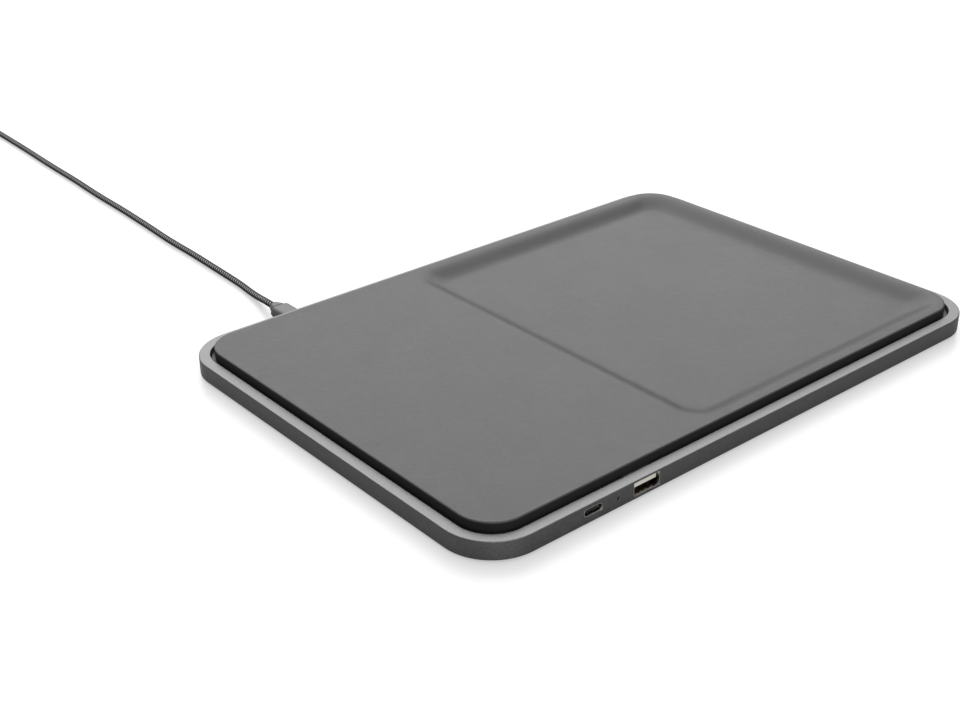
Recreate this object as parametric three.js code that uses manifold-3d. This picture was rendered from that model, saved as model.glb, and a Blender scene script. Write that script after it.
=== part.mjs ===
// A desk-top wireless charging pad, as an assembly of separate parts, in millimetres with +Z up.
// The origin is on the desk under the middle of the pad. +X runs to the right along the long
// front edge, where the outlets are, and +Y runs to the back, where the supply lead plugs in.
import * as THREE from 'three';
import { mergeVertices } from 'three/addons/utils/BufferGeometryUtils.js';
import Module from 'manifold-3d';

const wasm = await Module();
wasm.setup();

// ---- Driving dimensions -------------------------------------------------------------------

// Overall pad
const LENGTH = 280;
const WIDTH = 196;
const CORNER_RADIUS = 21;
const FOOT_PROUD = 0.8;
const FRAME_BOTTOM = FOOT_PROUD;
const FRAME_TOP = 8.4;
const FRAME_BAND = 5;
const BAND_INNER_RADIUS = 15;
const DECK_TOP = 11.5;
const DECK_INSET = 6.35;
const DECK_RADIUS = 15;
const FIT_GAP = 0.3;
const CORNER_STEPS = 6;

// Ledge inside the frame, which the deck stands on and the bottom cover closes against
const LEDGE_BOTTOM = 3.4;
const LEDGE_TOP = 4.6;
const LEDGE_INSET = 8.9;

// Leather skin and the moulded carrier under it
const LEATHER_THICKNESS = 1;
const GLUE_GAP = 0.15;
const LEATHER_HEM = 8;
const CARRIER_WALL = 1.4;
const SKIRT_INSET = DECK_INSET + LEATHER_THICKNESS + GLUE_GAP;
const SKIRT_WALL = 1.6;
const FLANGE_INSET = FRAME_BAND + FIT_GAP;
const FLANGE_TOP = 6.4;
const LIP_INSET = DECK_INSET + 0.1;
const EDGE_ROUND = 1;

// Tray sunk into the right of the deck, with soft sloping walls
const TRAY_LEFT = -28.5;
const TRAY_RIGHT = 132;
const TRAY_FRONT = -88.5;
const TRAY_BACK = 89;
const TRAY_DEPTH = 4.4;
const TRAY_WALL = 12;
const TRAY_RADIUS = 12;
const TRAY_STEPS = 5;

// Bottom cover, its feet and its screws
const COVER_TOP = 2.3;
const COVER_RIM_WIDTH = 2;
const FOOT_RADIUS = 7;
const FOOT_POCKET = 0.4;
const FOOT_PLACES = { rear_left: [-108, 70], rear_right: [108, 70], front_left: [-108, -70], front_right: [108, -70] };
const SCREW_PLACES = [[-123.5, -81.5], [0, -85.5], [123.5, -81.5], [123.5, 81.5], [0, 85.5], [-123.5, 81.5]];
const SCREW_HEAD_RADIUS = 2.3;
const SCREW_SHANK_RADIUS = 1.05;
const SCREW_LENGTH = 4.5;
const SCREW_SINK = 0.1;
const BOSS_RADIUS = 3;

// Sockets: a full-size outlet, a small outlet and the small inlet at the back
const PORT_SETBACK = 0.1;
const SHELL_WALL = 0.3;
const LARGE_PORT = { x: -65.2, z: 4.9, width: 13.2, height: 5.7, depth: 14, corner: 0.6 };
const SMALL_OUTLET = { x: -91.4, z: 5.3 };
const SMALL_INLET = { x: -84.4, z: 4.8 };
const SMALL_SHELL = { width: 8.94, height: 3.16, depth: 7.35, backWall: 0.45 };
const SMALL_TONGUE = { width: 6.69, height: 0.7, setback: 0.5 };
const LARGE_TONGUE = { width: 11.1, height: 1.84, topGap: 0.65, setback: 0.9 };
const CONTACT_OFFSETS = [-3.5, -1, 1, 3.5];
const LED_PLACE = { x: -79.4, z: 4.8 };
const LED_HOLE_RADIUS = 0.65;
const LIGHT_PIPE_RADIUS = 0.55;

// Circuit boards, their components, the charging coil and the inner wires
const MAIN_BOARD = { left: -120, right: -42, front: -88.4, back: -44, bottom: 2.6, top: 3.6 };
const MAIN_TAB = { left: -100.5, right: -54.5, front: -92.6 };
const INPUT_BOARD = { left: -99, right: -70, front: 74, back: 88.4, bottom: 2.35, top: 3.15 };
const INPUT_TAB = { left: -92.5, right: -76.5, back: 92.6 };
const MAIN_POSTS = [[-114, -58], [-48, -58]];
const INPUT_POSTS = [[-96, 78], [-73, 78]];
const POST_RADIUS = 1.2;
const COIL_CENTRE = [-81, 0];
const COIL_OUTER = 24.5;
const COIL_INNER = 10.5;
const COIL_BOTTOM = 7.4;
const COIL_TOP = 8.6;
const TAPE_TOP = 8.9;
const FERRITE_RADIUS = 26.5;
const FERRITE_THICKNESS = 0.9;
const WIRE_RADIUS = 0.6;
const COIL_WIRE_RADIUS = 0.45;

// Supply lead: plug, strain relief, cable, spare length in a coil, and the charger-end plug
const CABLE_RADIUS = 1.5;
const CABLE_REST = 1.55;
const PLUG_TIP = { width: 8.25, height: 2.4, length: 6.5, boreWidth: 6.95, boreHeight: 1.2, boreDepth: 6.2 };
const PLUG_FACE = 98.7;
const PLUG_BACK = 108.6;
const PLUG_WIDTH = 10;
const PLUG_HEIGHT = 5.4;
const RELIEF_END = 113.6;
const TOUCH_GAP = 0.3;
const COIL_TURN_OUTER = 22.5;
const COIL_TURN_INNER = 11.8;
const COIL_LAYER_RISE = 3.05;
const HANK_CENTRE = [-95.2, 462];
const TIE_THICKNESS = 0.5;
const TIE_WIDTH = 6;
const TAIL_X = HANK_CENTRE[0] - COIL_TURN_OUTER - CABLE_REST;
const FAR_AXIS_Z = 3.85;
const FAR_RELIEF_START = 432;
const FAR_RELIEF_LENGTH = 12;
const FAR_HOUSING = { width: 15.4, height: 7.6, length: 24, corner: 2.2 };
const FAR_SHELL = { width: 12, height: 4.5, length: 12, corner: 0.5 };

// ---- Materials ----------------------------------------------------------------------------

function finish(colour, roughness, metalness = 0) {
  return new THREE.MeshStandardMaterial({ color: colour, roughness, metalness });
}

const anodised = finish(0x9a9a9c, 0.45, 0.9);
const leather = finish(0x4a4a4b, 0.6);
const blackPlastic = finish(0x151516, 0.5);
const rubber = finish(0x1c1c1d, 0.85);
const steel = finish(0xb9bbbd, 0.3, 1);
const zincScrew = finish(0x3a3a3c, 0.4, 1);
const palePlastic = finish(0xe2dfd8, 0.45);
const gold = finish(0xd9b25a, 0.3, 1);
const boardGreen = finish(0x123b2a, 0.45);
const chipBlack = finish(0x1b1b1e, 0.5);
const ceramicTan = finish(0xa98a68, 0.5);
const copper = finish(0xb56a3c, 0.35, 0.9);
const ferriteGrey = finish(0x3b3b3f, 0.6);
const tapeWhite = finish(0xe9e9e6, 0.7);
const clear = finish(0xf4f4f2, 0.15);
const redWire = finish(0xa5201d, 0.5);
const blackWire = finish(0x19191a, 0.5);
const plugGrey = finish(0x77787a, 0.5);
const braid = finish(0x2c2c2e, 0.9);

// ---- Shape helpers ------------------------------------------------------------------------

// Points round a rectangle with rounded corners, counter-clockwise.
function roundedPoints(width, depth, radius, steps = CORNER_STEPS) {
  const points = [];
  const corners = [[1, 1], [-1, 1], [-1, -1], [1, -1]];
  corners.forEach(([sideX, sideY], quarter) => {
    for (let step = 0; step <= steps; step += 1) {
      const angle = (quarter + step / steps) * Math.PI / 2;
      const x = sideX * (width / 2 - radius) + radius * Math.cos(angle);
      const y = sideY * (depth / 2 - radius) + radius * Math.sin(angle);
      points.push(new THREE.Vector2(x, y));
    }
  });
  return points;
}

// A flat plate of a rounded rectangle, from z = low to z = high.
function plate(width, depth, radius, low, high, steps = CORNER_STEPS) {
  const shape = new THREE.Shape(roundedPoints(width, depth, radius, steps));
  const geometry = new THREE.ExtrudeGeometry(shape, { depth: high - low, bevelEnabled: false });
  return geometry.translate(0, 0, low);
}

// The pad's own outline moved in by an inset, as a plate.
function padPlate(inset, radius, low, high) {
  return plate(LENGTH - 2 * inset, WIDTH - 2 * inset, radius, low, high);
}

function block(left, right, front, back, low, high) {
  const geometry = new THREE.BoxGeometry(right - left, back - front, high - low);
  return geometry.translate((left + right) / 2, (front + back) / 2, (low + high) / 2);
}

// A round bar standing along Z.
function bar(radius, low, high, [x, y], sides = 12) {
  const geometry = new THREE.CylinderGeometry(radius, radius, high - low, sides);
  return geometry.rotateX(Math.PI / 2).translate(x, y, (low + high) / 2);
}

// A solid turned about Z from [radius, height] points that start and end on the axis.
function turned(profile, sides = 24) {
  const points = profile.map(([radius, height]) => new THREE.Vector2(radius, height));
  return new THREE.LatheGeometry(points, sides).rotateX(Math.PI / 2);
}

// A closed skin through rings of equal point counts, listed from low to high. Each ring is
// convex and counter-clockwise seen from above, so both ends close with a fan.
function loft(rings) {
  const count = rings[0].length;
  const last = (rings.length - 1) * count;
  const index = [];
  for (let ring = 0; ring < rings.length - 1; ring += 1) {
    for (let place = 0; place < count; place += 1) {
      const here = ring * count + place;
      const next = ring * count + (place + 1) % count;
      index.push(here, next, here + count, next, next + count, here + count);
    }
  }
  for (let place = 1; place < count - 1; place += 1) {
    index.push(0, place + 1, place);
    index.push(last, last + place, last + place + 1);
  }
  const geometry = new THREE.BufferGeometry();
  geometry.setAttribute('position', new THREE.Float32BufferAttribute(rings.flat(2), 3));
  geometry.setIndex(index);
  return geometry;
}

function ringAt(points, z, x = 0, y = 0) {
  return points.map((point) => [point.x + x, point.y + y, z]);
}

// Turns a shape built along +Z so that it runs along Y from a start point: 1 is +Y, -1 is -Y.
function alongY(geometry, direction, x, y, z) {
  return geometry.rotateX(-direction * Math.PI / 2).translate(x, y, z);
}

// A round tube along a smooth curve through points.
function wire(points, radius, steps, sides = 8) {
  const curve = new THREE.CatmullRomCurve3(points.map((point) => new THREE.Vector3(...point)));
  const section = new THREE.Shape();
  for (let side = 0; side < sides; side += 1) {
    const angle = side / sides * 2 * Math.PI;
    const x = radius * Math.cos(angle);
    const y = radius * Math.sin(angle);
    if (side === 0) section.moveTo(x, y);
    else section.lineTo(x, y);
  }
  return new THREE.ExtrudeGeometry(section, { steps, extrudePath: curve, bevelEnabled: false });
}

function toSolid(geometry) {
  const bare = geometry.clone();
  bare.deleteAttribute('normal');
  bare.deleteAttribute('uv');
  const welded = mergeVertices(bare, 1e-5);
  const vertProperties = new Float32Array(welded.attributes.position.array);
  const triVerts = new Uint32Array(welded.index.array);
  return new wasm.Manifold(new wasm.Mesh({ numProp: 3, vertProperties, triVerts }));
}

function toGeometry(solid) {
  const mesh = solid.getMesh();
  const geometry = new THREE.BufferGeometry();
  geometry.setAttribute('position', new THREE.BufferAttribute(mesh.vertProperties, 3));
  geometry.setIndex(new THREE.BufferAttribute(mesh.triVerts, 1));
  return geometry;
}

function cut(base, ...tools) {
  return toGeometry(tools.reduce((solid, tool) => solid.subtract(toSolid(tool)), toSolid(base)));
}

function join(base, ...others) {
  return toGeometry(others.reduce((solid, other) => solid.add(toSolid(other)), toSolid(base)));
}

// ---- Sub-part shapes ----------------------------------------------------------------------

// Channels that the sockets and the light pipe need through everything behind the frame's wall.
function portTunnels() {
  const reach = WIDTH / 2 - FRAME_BAND + 0.5;
  const shellHalf = SMALL_SHELL.width / 2 + FIT_GAP / 2;
  const shellRise = SMALL_SHELL.height / 2 + FIT_GAP / 2;
  const largeHalf = LARGE_PORT.width / 2 + FIT_GAP / 2;
  const largeLow = LARGE_PORT.z - LARGE_PORT.height / 2 - FIT_GAP / 2;
  const largeHigh = LARGE_PORT.z + LARGE_PORT.height / 2 + 0.1;
  const largeBack = LARGE_PORT.depth - WIDTH / 2 + FIT_GAP;
  const outlet = SMALL_OUTLET;
  const inlet = SMALL_INLET;
  return [
    block(LARGE_PORT.x - largeHalf, LARGE_PORT.x + largeHalf, -reach, largeBack, largeLow, largeHigh),
    block(outlet.x - shellHalf, outlet.x + shellHalf, -reach, -88, outlet.z - shellRise, outlet.z + shellRise),
    block(inlet.x - shellHalf, inlet.x + shellHalf, 88, reach, inlet.z - shellRise, inlet.z + shellRise),
    block(LED_PLACE.x - 1.3, LED_PLACE.x + 1.3, -reach, -88, MAIN_BOARD.top, LED_PLACE.z + 1.2),
  ];
}

// Room in the frame's ledge and in the cover's rim for the boards' tabs.
function boardBays() {
  const reach = WIDTH / 2 - FRAME_BAND;
  const bayTop = LEDGE_TOP + 0.1;
  return [
    block(MAIN_TAB.left - 0.5, MAIN_TAB.right + 0.5, -reach, -88, COVER_TOP, bayTop),
    block(INPUT_TAB.left - 0.5, INPUT_TAB.right + 0.5, 88, reach, COVER_TOP, bayTop),
  ];
}

// Openings in the frame's own wall, a little larger than what shows in them.
function portHoles() {
  const depth = FRAME_BAND + 1;
  const smallHole = () => {
    const height = SMALL_SHELL.height + FIT_GAP;
    return plate(SMALL_SHELL.width + FIT_GAP, height, height / 2, 0, depth);
  };
  const largeHole = plate(LARGE_PORT.width + FIT_GAP, LARGE_PORT.height + FIT_GAP, 0.75, 0, depth, 3);
  const start = -WIDTH / 2 - 0.5;
  return [
    alongY(smallHole(), 1, SMALL_OUTLET.x, start, SMALL_OUTLET.z),
    alongY(smallHole(), -1, SMALL_INLET.x, -start, SMALL_INLET.z),
    alongY(largeHole, 1, LARGE_PORT.x, start, LARGE_PORT.z),
    alongY(bar(LED_HOLE_RADIUS, 0, depth, [0, 0], 12), 1, LED_PLACE.x, start, LED_PLACE.z),
  ];
}

function frameShape() {
  const outside = padPlate(0, CORNER_RADIUS, FRAME_BOTTOM, FRAME_TOP);
  const upperPocket = padPlate(FRAME_BAND, BAND_INNER_RADIUS, LEDGE_TOP, FRAME_TOP + 1);
  const lowerPocket = padPlate(FRAME_BAND, BAND_INNER_RADIUS, FRAME_BOTTOM - 1, LEDGE_BOTTOM);
  const middle = padPlate(LEDGE_INSET, BAND_INNER_RADIUS - 3.9, LEDGE_BOTTOM - 1, LEDGE_TOP + 1);
  return cut(outside, upperPocket, lowerPocket, middle, ...boardBays(), ...portHoles());
}

// The deck's outer form with a soft top edge, for any inset from the pad's side.
function deckForm(inset, low, high) {
  const rounding = [[0, low], [0, high - EDGE_ROUND], [0.3, high - 0.3], [EDGE_ROUND, high]];
  const rings = rounding.map(([shrink, z]) => {
    const total = inset + shrink;
    const radius = DECK_RADIUS - (total - DECK_INSET);
    return ringAt(roundedPoints(LENGTH - 2 * total, WIDTH - 2 * total, radius), z);
  });
  return loft(rings);
}

// The space of the tray, dropped by a distance so that skins of even thickness follow it.
function trayForm(drop) {
  const centreX = (TRAY_LEFT + TRAY_RIGHT) / 2;
  const centreY = (TRAY_FRONT + TRAY_BACK) / 2;
  const rings = [];
  for (let step = TRAY_STEPS; step >= 0; step -= 1) {
    const across = step / TRAY_STEPS;
    const fall = TRAY_DEPTH * across * across * (3 - 2 * across);
    const inset = TRAY_WALL * across;
    const width = TRAY_RIGHT - TRAY_LEFT - 2 * inset;
    const depth = TRAY_BACK - TRAY_FRONT - 2 * inset;
    const points = roundedPoints(width, depth, TRAY_RADIUS - 0.4 * inset);
    rings.push(ringAt(points, DECK_TOP - drop - fall, centreX, centreY));
    if (step === 0) rings.push(ringAt(points, DECK_TOP + 2, centreX, centreY));
  }
  return loft(rings);
}

function leatherShape() {
  const inside = DECK_INSET + LEATHER_THICKNESS;
  const skin = join(
    deckForm(DECK_INSET, LEATHER_HEM, DECK_TOP),
    padPlate(inside + 0.1, DECK_RADIUS - 1.1, DECK_TOP - TRAY_DEPTH - 2, LEATHER_HEM + 0.5),
  );
  const core = deckForm(inside, 1, DECK_TOP - LEATHER_THICKNESS);
  return cut(skin, trayForm(0), cut(core, trayForm(LEATHER_THICKNESS)));
}

function carrierShape() {
  const drop = LEATHER_THICKNESS + GLUE_GAP;
  const underDrop = drop + CARRIER_WALL;
  const hollowInset = SKIRT_INSET + SKIRT_WALL;
  const lipTop = LEATHER_HEM - GLUE_GAP;
  const floor = DECK_TOP - TRAY_DEPTH - underDrop;
  const boardTop = MAIN_BOARD.top + 0.1;
  const inputTop = INPUT_BOARD.top + 0.1;
  const outside = join(
    deckForm(SKIRT_INSET, FLANGE_TOP - 0.2, DECK_TOP - drop),
    padPlate(LIP_INSET, DECK_RADIUS - 0.1, FLANGE_TOP - 0.2, lipTop),
    padPlate(FLANGE_INSET, BAND_INNER_RADIUS - FIT_GAP, LEDGE_TOP + 0.1, FLANGE_TOP),
    padPlate(hollowInset + 0.1, 12, floor - 0.5, FLANGE_TOP),
  );
  const hollow = cut(deckForm(hollowInset, 1, DECK_TOP - underDrop), trayForm(underDrop));
  const posts = [
    ...SCREW_PLACES.map((place) => bar(BOSS_RADIUS, COVER_TOP + 0.1, 9.5, place)),
    ...MAIN_POSTS.map((place) => bar(2.4, boardTop, 9.5, place)),
    ...INPUT_POSTS.map((place) => bar(2.4, inputTop, 9.5, place)),
  ];
  const holes = [
    ...SCREW_PLACES.map((place) => bar(SCREW_SHANK_RADIUS + 0.1, 0, SCREW_LENGTH + 1.1, place)),
    ...MAIN_POSTS.map((place) => bar(POST_RADIUS + 0.2, 0, boardTop + 1, place)),
    ...INPUT_POSTS.map((place) => bar(POST_RADIUS + 0.2, 0, inputTop + 1, place)),
  ];
  const shell = join(cut(outside, hollow), ...posts);
  return cut(shell, trayForm(drop), ...holes, ...portTunnels());
}

function coverShape() {
  const rim = cut(
    padPlate(FLANGE_INSET, BAND_INNER_RADIUS - FIT_GAP, COVER_TOP - 0.2, LEDGE_BOTTOM - 0.1),
    padPlate(FLANGE_INSET + COVER_RIM_WIDTH, BAND_INNER_RADIUS - 2.3, COVER_TOP - 1, LEDGE_BOTTOM + 1),
    ...boardBays(),
  );
  const base = padPlate(FLANGE_INSET, BAND_INNER_RADIUS - FIT_GAP, FRAME_BOTTOM, COVER_TOP);
  const standoffs = [
    ...MAIN_POSTS.map((place) => bar(2.4, 1.5, MAIN_BOARD.bottom - 0.05, place)),
    ...MAIN_POSTS.map((place) => bar(POST_RADIUS, 1.5, MAIN_BOARD.top + 0.6, place)),
    ...INPUT_POSTS.map((place) => bar(POST_RADIUS, 1.5, INPUT_BOARD.top + 0.6, place)),
  ];
  const feet = Object.values(FOOT_PLACES);
  const pockets = feet.map((place) => bar(FOOT_RADIUS + 0.2, 0, FRAME_BOTTOM + FOOT_POCKET, place, 24));
  const seats = SCREW_PLACES.map(([x, y]) => screwSeat().translate(x, y, 0));
  return cut(join(base, rim, ...standoffs), ...pockets, ...seats, ...portTunnels());
}

// The countersunk hole that a cover screw sits in.
function screwSeat() {
  const head = SCREW_HEAD_RADIUS + 0.1;
  const shank = SCREW_SHANK_RADIUS + 0.15;
  const start = FRAME_BOTTOM + SCREW_SINK;
  return turned([[0, 0], [head, 0], [head, start + 0.2], [shank, start + 1.45], [shank, 4], [0, 4]], 16);
}

function screwShape() {
  const head = SCREW_HEAD_RADIUS;
  const shank = SCREW_SHANK_RADIUS;
  const body = turned([[0, 0], [head, 0], [head, 0.2], [shank, 1.4], [shank, 3.9], [0.5, 4.5], [0, 4.5]], 16);
  const slot = block(-1.4, 1.4, -0.25, 0.25, -1, 0.7);
  const crossSlot = block(-0.25, 0.25, -1.4, 1.4, -1, 0.7);
  return cut(body, slot, crossSlot);
}

function footShape() {
  const high = FRAME_BOTTOM + FOOT_POCKET - 0.05;
  const radius = FOOT_RADIUS;
  return turned([[0, 0], [radius - 0.4, 0], [radius, 0.4], [radius, high], [0, high]], 24);
}

function smallShellShape() {
  const { width, height, depth, backWall } = SMALL_SHELL;
  const outside = plate(width, height, height / 2, 0, depth);
  const boreHeight = height - 2 * SHELL_WALL;
  const bore = plate(width - 2 * SHELL_WALL, boreHeight, boreHeight / 2, -1, depth - backWall);
  return cut(outside, bore);
}

function smallTongueShape() {
  const { width, height, setback } = SMALL_TONGUE;
  const end = SMALL_SHELL.depth - SMALL_SHELL.backWall - 0.05;
  return plate(width, height, 0.2, setback, end, 2);
}

function largeShellShape() {
  const { width, height, depth, corner } = LARGE_PORT;
  const outside = plate(width, height, corner, 0, depth, 3);
  const bore = plate(width - 2 * SHELL_WALL, height - 2 * SHELL_WALL, corner - SHELL_WALL, -1, depth - 0.5, 3);
  return cut(outside, bore);
}

function largeTongueHeight() {
  const { height, topGap } = LARGE_TONGUE;
  return LARGE_PORT.z + LARGE_PORT.height / 2 - SHELL_WALL - topGap - height / 2;
}

function largeTongueShape() {
  const { width, height, setback } = LARGE_TONGUE;
  return plate(width, height, 0.25, setback, LARGE_PORT.depth - 0.55, 2);
}

// A board outline with its tab towards a socket and holes for the cover's posts.
function boardShape(board, tabBlock, posts, extraCuts) {
  const base = block(board.left, board.right, board.front, board.back, board.bottom, board.top);
  const holes = posts.map((place) => bar(POST_RADIUS + 0.2, board.bottom - 1, board.top + 1, place));
  return cut(join(base, tabBlock), ...holes, ...extraCuts);
}

function mainBoardShape() {
  const { bottom, top } = MAIN_BOARD;
  const tab = block(MAIN_TAB.left, MAIN_TAB.right, MAIN_TAB.front, MAIN_BOARD.front + 1, bottom, top);
  const half = LARGE_PORT.width / 2 + 0.4;
  const back = LARGE_PORT.depth - WIDTH / 2 + 0.4;
  const notch = block(LARGE_PORT.x - half, LARGE_PORT.x + half, -95, back, bottom - 1, top + 1);
  return boardShape(MAIN_BOARD, tab, MAIN_POSTS, [notch]);
}

function inputBoardShape() {
  const { bottom, top } = INPUT_BOARD;
  const tab = block(INPUT_TAB.left, INPUT_TAB.right, INPUT_BOARD.back - 1, INPUT_TAB.back, bottom, top);
  return boardShape(INPUT_BOARD, tab, INPUT_POSTS, []);
}

// A flat ring about Z.
function washer(outer, inner, low, high, sides = 36) {
  return cut(bar(outer, low, high, [0, 0], sides), bar(inner, low - 1, high + 1, [0, 0], sides));
}

// The plug's metal tip, hollow at its mouth, built along -Y from the plug's face.
function plugTipShape() {
  const { width, height, length, boreWidth, boreHeight, boreDepth } = PLUG_TIP;
  const outside = plate(width, height, height / 2, 0, length);
  const bore = plate(boreWidth, boreHeight, boreHeight / 2, length - boreDepth, length + 1);
  return cut(outside, bore);
}

// A body of rounded sections along its axis: each section is [distance, width, height, corner].
function sectionBody(sections, steps = 4) {
  const rings = sections.map(([distance, width, height, corner]) => {
    return ringAt(roundedPoints(width, height, corner, steps), distance);
  });
  return loft(rings);
}

function plugHousingShape() {
  const length = PLUG_BACK - PLUG_FACE;
  const slim = [PLUG_WIDTH - 1.2, PLUG_HEIGHT - 1.2, (PLUG_HEIGHT - 1.2) / 2];
  const full = [PLUG_WIDTH, PLUG_HEIGHT, PLUG_HEIGHT / 2];
  return sectionBody([[0, ...slim], [0.6, ...full], [length - 1, ...full], [length, ...slim]]);
}

function plugReliefShape() {
  const length = RELIEF_END - PLUG_BACK - 0.1;
  return sectionBody([[0, 7.6, 4.6, 2.3], [1.6, 6.2, 4.6, 2.3], [length - 0.5, 5.2, 4.4, 2.2], [length, 4.4, 3.6, 1.8]]);
}

// The free stretch from the plug, down to the desk and away behind the pad.
const LEAD_ROUTE = [
  [SMALL_INLET.x, RELIEF_END + TOUCH_GAP, SMALL_INLET.z],
  [-84.1, 118, 4.6],
  [-83.2, 123, 3.8],
  [-81.9, 131, 2.5],
  [-80.7, 140, 1.75],
  [-79.6, 150, CABLE_REST],
  [-78.9, 171, CABLE_REST],
  [-78.3, 195, CABLE_REST],
  [-78.2, 219, CABLE_REST],
  [-77.1, 246, CABLE_REST],
  [-76.3, 273, CABLE_REST],
  [-76.0, 301, CABLE_REST],
  [-74.9, 333, CABLE_REST],
  [-74.4, 364, CABLE_REST],
  [-73.3, 399, CABLE_REST],
  [-72.8, 425, CABLE_REST],
  [-72.7, 440, CABLE_REST + 0.15],
  [-72.7, 448.6, CABLE_REST + 0.45],
];

// The last short stretch, from the coil to the charger-end plug.
const TAIL_ROUTE = [
  [TAIL_X, 452, 4.9],
  [TAIL_X, 445, 4.6],
  [TAIL_X, 438, 4.0],
  [TAIL_X, FAR_RELIEF_START + TOUCH_GAP, FAR_AXIS_Z],
];

// One closed ring that holds the wound spare length.
function spareCoilShape() {
  const inner = COIL_TURN_INNER - CABLE_RADIUS - 0.1;
  const outer = COIL_TURN_OUTER + CABLE_RADIUS + 0.1;
  const low = TIE_THICKNESS + 0.05;
  const high = low + 2 * CABLE_RADIUS + COIL_LAYER_RISE + 0.1;
  const profile = [[inner, low], [outer, low], [outer, high], [inner, high], [inner, low]];
  return turned(profile, 40);
}

// The strap round the wound turns, on the side that faces the pad.
function tieShape() {
  const outer = COIL_TURN_OUTER + CABLE_RADIUS + 0.5;
  const inner = COIL_TURN_INNER - CABLE_RADIUS - 0.9;
  const high = TIE_THICKNESS + 2 * CABLE_RADIUS + COIL_LAYER_RISE + 0.5;
  const half = TIE_WIDTH / 2;
  const thick = TIE_THICKNESS;
  const band = block(-half, half, -outer - thick, -inner + thick, 0, high + thick);
  return cut(band, block(-half - 1, half + 1, -outer, -inner, thick, high));
}

function farReliefShape() {
  return sectionBody([[0, 3.9, 3.9, 1.95], [FAR_RELIEF_LENGTH, 5.8, 5.4, 2.6]]);
}

function farHousingShape() {
  const { width, height, length, corner } = FAR_HOUSING;
  const slim = [width - 1.4, height - 1.4, corner];
  return sectionBody([[0, ...slim], [0.7, width, height, corner], [length - 0.7, width, height, corner], [length, ...slim]]);
}

function farShellShape() {
  const { width, height, length, corner } = FAR_SHELL;
  const outside = plate(width, height, corner, 0, length, 3);
  const bore = plate(width - 2 * SHELL_WALL, height - 2 * SHELL_WALL, 0.2, 0.5, length + 1, 3);
  return cut(outside, bore);
}

// ---- Assembly -----------------------------------------------------------------------------

function addPart(group, name, geometry, material, place = [0, 0, 0]) {
  const mesh = new THREE.Mesh(geometry, material);
  mesh.name = name;
  mesh.position.set(...place);
  group.add(mesh);
}

function addCase(pad) {
  addPart(pad, 'outer_frame', frameShape(), anodised);
  addPart(pad, 'bottom_cover', coverShape(), blackPlastic);
  addPart(pad, 'deck_carrier', carrierShape(), blackPlastic);
  addPart(pad, 'leather_top', leatherShape(), leather);
  for (const [corner, [x, y]] of Object.entries(FOOT_PLACES)) {
    addPart(pad, `foot_${corner}`, footShape(), rubber, [x, y, 0]);
  }
  SCREW_PLACES.forEach(([x, y], count) => {
    addPart(pad, `cover_screw_${count + 1}`, screwShape(), zincScrew, [x, y, FRAME_BOTTOM + SCREW_SINK]);
  });
}

function addSockets(pad) {
  const front = -WIDTH / 2 + PORT_SETBACK;
  const { x, z } = LARGE_PORT;
  addPart(pad, 'usb_a_shell', alongY(largeShellShape(), 1, x, front, z), steel);
  addPart(pad, 'usb_a_tongue', alongY(largeTongueShape(), 1, x, front, largeTongueHeight()), palePlastic);
  const under = largeTongueHeight() - LARGE_TONGUE.height / 2 - 0.05;
  CONTACT_OFFSETS.forEach((offset, count) => {
    const strip = block(-0.5, 0.5, front + 1.6, front + 10.5, -0.25, 0);
    addPart(pad, `usb_a_contact_${count + 1}`, strip, gold, [x + offset, 0, under]);
  });
  const outlet = [1, SMALL_OUTLET.x, front, SMALL_OUTLET.z];
  const inlet = [-1, SMALL_INLET.x, -front, SMALL_INLET.z];
  addPart(pad, 'usb_c_out_shell', alongY(smallShellShape(), ...outlet), steel);
  addPart(pad, 'usb_c_out_tongue', alongY(smallTongueShape(), ...outlet), blackPlastic);
  addPart(pad, 'usb_c_in_shell', alongY(smallShellShape(), ...inlet), steel);
  addPart(pad, 'usb_c_in_tongue', alongY(smallTongueShape(), ...inlet), blackPlastic);
  const pipe = alongY(bar(LIGHT_PIPE_RADIUS, 0.3, 6.2, [0, 0], 12), 1, LED_PLACE.x, -WIDTH / 2, LED_PLACE.z);
  addPart(pad, 'light_pipe', pipe, clear);
  addPart(pad, 'status_led', block(-0.8, 0.8, -91.6, -90.5, MAIN_BOARD.top + 0.05, 5.2), clear, [LED_PLACE.x, 0, 0]);
}

function addElectronics(pad) {
  addPart(pad, 'main_board', mainBoardShape(), boardGreen);
  addPart(pad, 'input_board', inputBoardShape(), boardGreen);
  const seat = MAIN_BOARD.top + 0.05;
  const chips = { controller_chip: [-84, -62, 3, 0.9], driver_chip: [-98, -66, 2.5, 0.9], outlet_chip: [-72, -70, 2, 0.8] };
  for (const [name, [x, y, half, high]] of Object.entries(chips)) {
    addPart(pad, name, block(-half, half, -half, half, 0, high), chipBlack, [x, y, seat]);
  }
  addPart(pad, 'power_inductor', plate(7, 7, 1, 0, 3.2, 3), ferriteGrey, [-108, -72, seat]);
  [-94, -88, -82].forEach((x, count) => {
    addPart(pad, `coil_capacitor_${count + 1}`, block(-2, 2, -1.6, 1.6, 0, 2.2), ceramicTan, [x, -52, seat]);
  });
  const filter = plate(5, 5, 0.8, 0, 2.8, 3);
  addPart(pad, 'input_inductor', filter, ferriteGrey, [-90, 80, INPUT_BOARD.top + 0.05]);
}

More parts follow.
